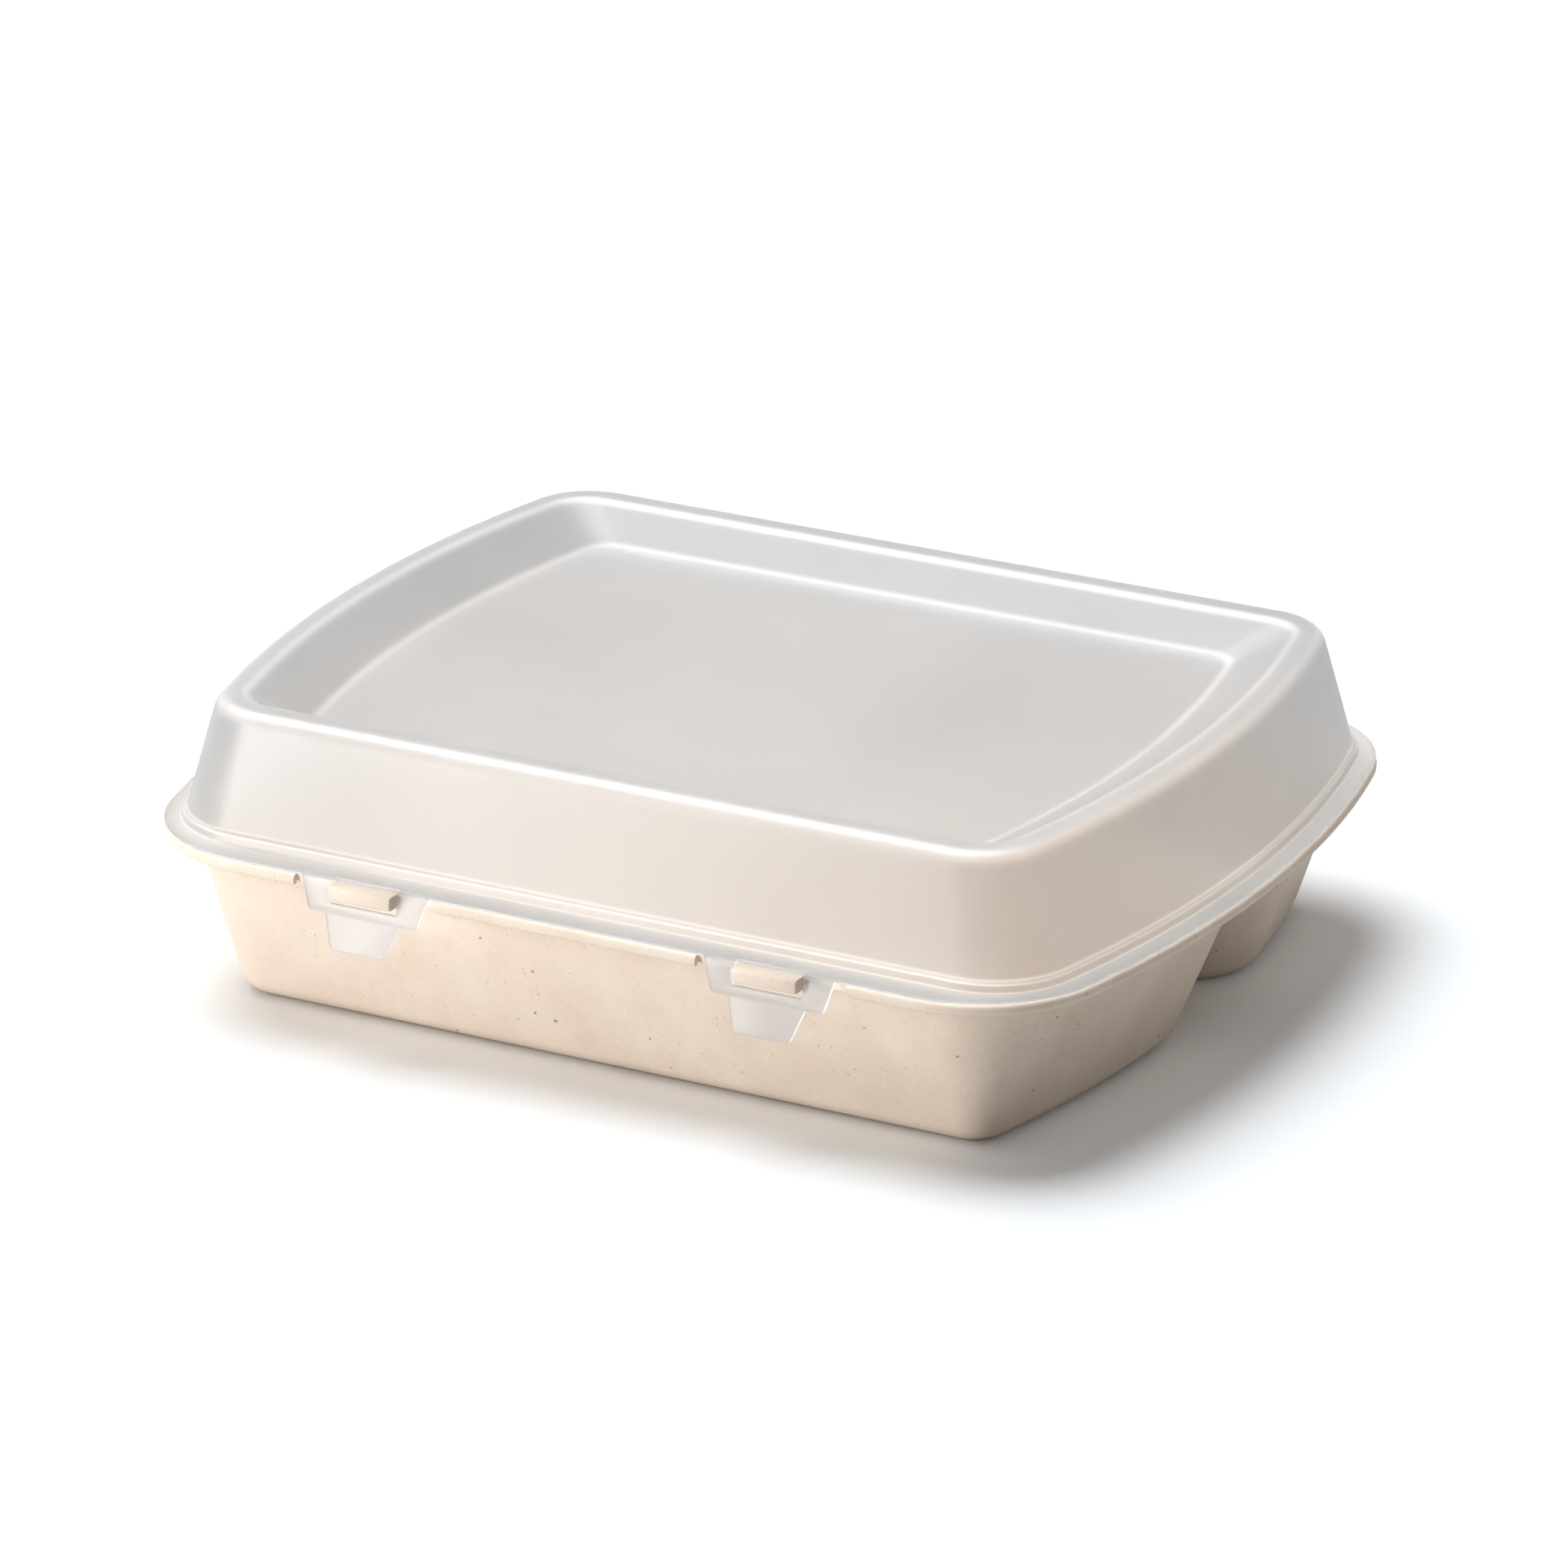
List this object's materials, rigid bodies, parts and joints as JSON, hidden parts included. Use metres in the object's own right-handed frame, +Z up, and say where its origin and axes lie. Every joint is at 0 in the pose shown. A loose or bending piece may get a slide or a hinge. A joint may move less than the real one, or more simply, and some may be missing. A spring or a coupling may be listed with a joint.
{
  "type": "reusable meal container",
  "caption": "Closed takeaway box: moulded fibre tray with food compartments under a frosted domed lid with fold-down latch tabs.",
  "frame": {"origin": "centre of the footprint, on the plane that the container stands on", "axes": "+X to the right along the length, +Y to the rear where the lid swings, +Z up"},
  "size_m": [0.2354, 0.194, 0.0662],
  "materials": {
    "fibre_plastic": "matte, finely speckled",
    "frosted_lid": "frosted, translucent"
  },
  "bodies": {
    "tray": {"tray": "fibre_plastic", "hinge_tab_left": "frosted_lid", "hinge_tab_right": "frosted_lid"},
    "lid": {"lid": "frosted_lid"},
    "latch_left": {"latch_tab_left": "frosted_lid"},
    "latch_right": {"latch_tab_right": "frosted_lid"}
  },
  "joints": [
    {"name": "lid_hinge", "type": "hinge", "parent": "tray", "child": "lid", "pos_m": [0, 0.0928, 0.03795], "axis": [-1, 0, 0], "range_deg": [0, 160], "deforming": ["latch_tab_left", "latch_tab_right"]},
    {"name": "latch_left_crease", "type": "hinge", "parent": "lid", "child": "latch_left", "pos_m": [-0.0478, -0.0928, 0.03795], "axis": [-1, 0, 0], "range_deg": [0, 90]},
    {"name": "latch_right_crease", "type": "hinge", "parent": "lid", "child": "latch_right", "pos_m": [0.0478, -0.0928, 0.03795], "axis": [-1, 0, 0], "range_deg": [0, 90]}
  ]
}
